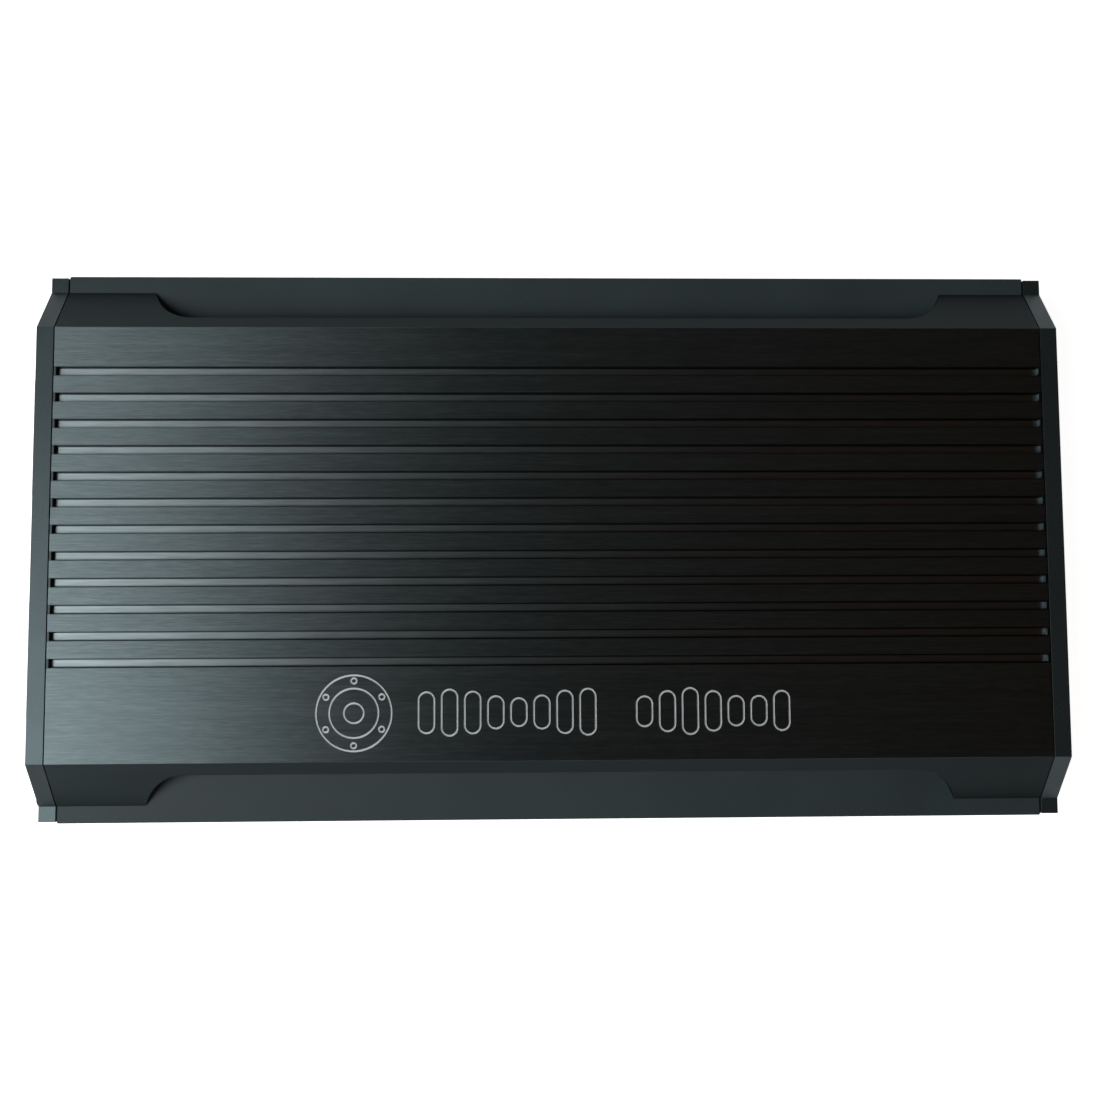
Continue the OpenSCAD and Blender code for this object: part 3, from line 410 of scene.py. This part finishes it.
slot_of = {part["node"]: part["material_slot"] for part in frame["record"]["subparts"]}
for name, piece in frame["nodes"].items():
    if slot_of[name] == "knob_plastic":
        material = knob_plastic(name)
    elif name == "phono_housings":
        material = socket_plastic()
    else:
        material = MATERIALS[slot_of[name]]
    piece.data.materials.clear()
    piece.data.materials.append(material)


# ---------------------------------------------------------------- soft edges
EASED = {"power_end_plate": 0.5, "signal_end_plate": 0.5, "power_terminal_housing": 0.3,
         "speaker_terminal_housing": 0.3, "remote_jack": 0.2, "bottom_plate": 0.25}


def ease_edges(name, width):
    """Rounds a CAD node's machined edges by width millimetres."""
    piece = frame["nodes"][name]
    weld = piece.modifiers.new("weld", "WELD")
    weld.merge_threshold = 0.001 * MM
    flat = piece.modifiers.new("flat", "DECIMATE")
    flat.decimate_type = "DISSOLVE"
    flat.angle_limit = math.radians(0.5)
    bevel = piece.modifiers.new("ease", "BEVEL")
    bevel.width = width * MM
    bevel.segments = 2
    bevel.limit_method = "ANGLE"
    bevel.angle_limit = math.radians(25)
    bevel.harden_normals = True
    bevel.use_clamp_overlap = True


for name, width in EASED.items():
    ease_edges(name, width)


# ---------------------------------------------------------------- floor, room, lights and camera
def build_floor(half):
    """A square white floor just under the object, half metres from its middle to an edge."""
    s = Shader("studio_floor")
    tone = s.grade(s.noise(3, detail=2), [(0.0, (0.86, 0.86, 0.86)), (1.0, (0.88, 0.88, 0.88))])
    s.set(Base_Color=tone, Roughness=0.9, Emission_Color=rgb(1, 1, 1), Emission_Strength=0.92)
    z = -0.05 * MM
    corners = [(-half, -half, z), (half, -half, z), (half, half, z), (-half, half, z)]
    mesh = bpy.data.meshes.new("floor")
    mesh.from_pydata(corners, [], [(0, 1, 2, 3)])
    mesh.materials.append(s.mat)
    floor = bpy.data.objects.new("floor", mesh)
    bpy.context.scene.collection.objects.link(floor)


def build_room(strength):
    """A dim warm room round the object, with a white wall behind the floor for the camera alone."""
    world = bpy.data.worlds.new("studio")
    world.use_nodes = True
    nodes, links = world.node_tree.nodes, world.node_tree.links
    room = nodes["Background"]
    room.inputs["Color"].default_value = rgb(1.0, 0.72, 0.56)
    room.inputs["Strength"].default_value = strength
    wall = nodes.new("ShaderNodeBackground")
    wall.inputs["Color"].default_value = rgb(1, 1, 1)
    seen = nodes.new("ShaderNodeLightPath")
    either = nodes.new("ShaderNodeMixShader")
    links.new(seen.outputs["Is Camera Ray"], either.inputs[0])
    links.new(room.outputs[0], either.inputs[1])
    links.new(wall.outputs[0], either.inputs[2])
    links.new(either.outputs[0], nodes["World Output"].inputs["Surface"])
    bpy.context.scene.world = world


def area_light(name, at, target, size, power, colour=(1, 1, 1)):
    """A soft box that faces target, with its size in metres and its power in watts."""
    light = bpy.data.lights.new(name, "AREA")
    light.shape = "RECTANGLE"
    light.size, light.size_y = size
    light.energy = power
    light.color = colour
    lamp = bpy.data.objects.new(name, light)
    lamp.location = at
    lamp.rotation_euler = (Vector(target) - Vector(at)).to_track_quat("-Z", "Y").to_euler()
    bpy.context.scene.collection.objects.link(lamp)


def build_lights():
    """A large cool light over the left end, faint warm light on the right and fill at the sides."""
    case = (0, 0, 0.02)
    area_light("key", (-0.97, -0.33, 1.0), (-0.1, 0, 0), (0.7, 1.2), 17.4, (0.97, 1.0, 1.0))
    area_light("right_low", (1.9, 0.3, 0.45), case, (1.6, 0.6), 3, (1.0, 0.9, 0.84))
    area_light("warm_top", (0.55, 0.0, 1.3), (0.1, 0, 0), (1.0, 1.2), 0.1, (1.0, 0.3, 0.12))
    area_light("front_low", (0.2, -2.0, 0.5), case, (1.8, 0.6), 4.2)
    area_light("back_low", (0.3, 2.0, 0.45), case, (1.6, 0.6), 1.8)


def build_camera():
    """Above the cover and a little towards its front, tilted as the object is seen."""
    pitch, roll, yaw = -0.0744, 0.0258, 0.0033
    height, left, front = 509.6 * MM, 14.1 * MM, 40.5 * MM
    camera = bpy.data.cameras.new("camera")
    camera.sensor_width = 36
    camera.lens = 39.42
    camera.clip_start = 10 * MM
    eye = bpy.data.objects.new("camera", camera)
    place = Matrix.Translation((-left, -front, ledge_z + height))
    to_camera = Matrix.Rotation(yaw, 3, "Z") @ Matrix.Rotation(roll, 3, "Y") @ Matrix.Rotation(pitch, 3, "X")
    eye.matrix_world = place @ to_camera.transposed().to_4x4()
    bpy.context.scene.collection.objects.link(eye)
    bpy.context.scene.camera = eye


build_floor(half=4.0)
build_room(strength=0.02)
build_lights()
build_camera()
bpy.context.scene.view_settings.view_transform = "Standard"
